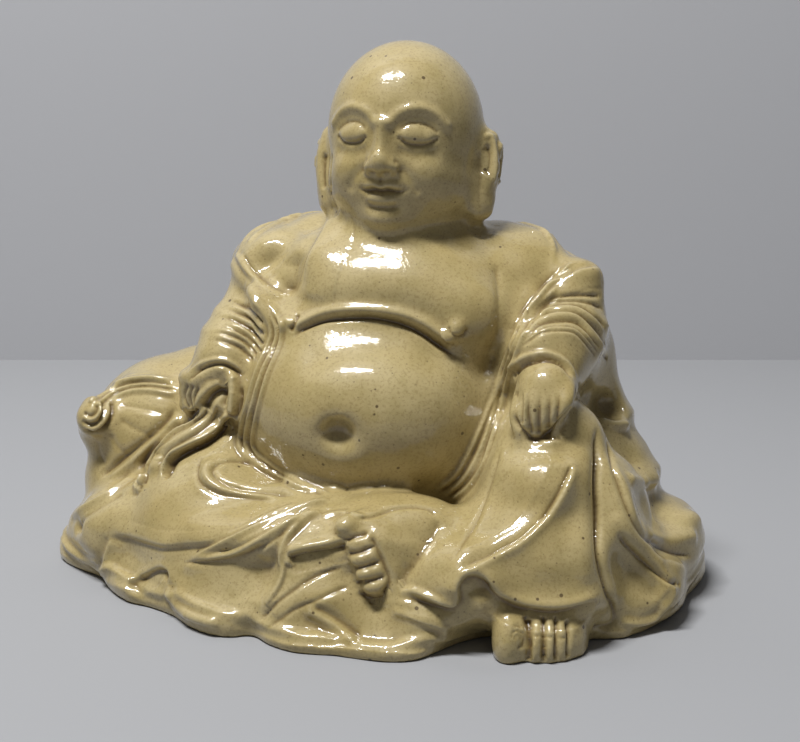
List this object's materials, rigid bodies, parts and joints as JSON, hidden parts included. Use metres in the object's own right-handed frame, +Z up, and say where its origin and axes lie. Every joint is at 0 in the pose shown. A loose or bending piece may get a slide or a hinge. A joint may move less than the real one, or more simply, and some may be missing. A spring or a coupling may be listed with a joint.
{
  "type": "seated buddha figurine",
  "caption": "Seated, round-bellied monk figurine in cream glazed stoneware, robe open to the waist, one knee raised, a tied sack at its side, and a wavy hem spread flat to stand on a shelf.",
  "frame": {"origin": "middle of the footprint on the table, at the underside of the hem", "axes": "+Z up; the figure faces -Y; +X is the figure's left, along its width"},
  "size_m": [0.1973, 0.1398, 0.1548],
  "materials": {
    "skin_glaze": "glossy cream glaze over speckled stoneware",
    "robe_glaze": "glossy cream glaze, amber where it pools in the folds",
    "sack_glaze": "glossy cream glaze, a little darker"
  },
  "bodies": {
    "root": {"front_shell": "skin_glaze", "back_shell": "robe_glaze", "head": "skin_glaze", "right_ear": "skin_glaze", "left_ear": "skin_glaze", "right_nipple": "skin_glaze", "left_nipple": "skin_glaze", "right_robe_edge": "robe_glaze", "left_robe_edge": "robe_glaze", "robe_collar": "robe_glaze", "right_sleeve": "robe_glaze", "left_sleeve": "robe_glaze", "right_hand": "skin_glaze", "left_hand": "skin_glaze", "right_leg_robe": "robe_glaze", "left_leg_robe": "robe_glaze", "right_foot": "skin_glaze", "left_foot": "skin_glaze", "robe_hem": "robe_glaze", "sack": "sack_glaze", "sack_knot": "sack_glaze", "sack_cord": "sack_glaze", "sash_tail": "robe_glaze"}
  },
  "joints": []
}
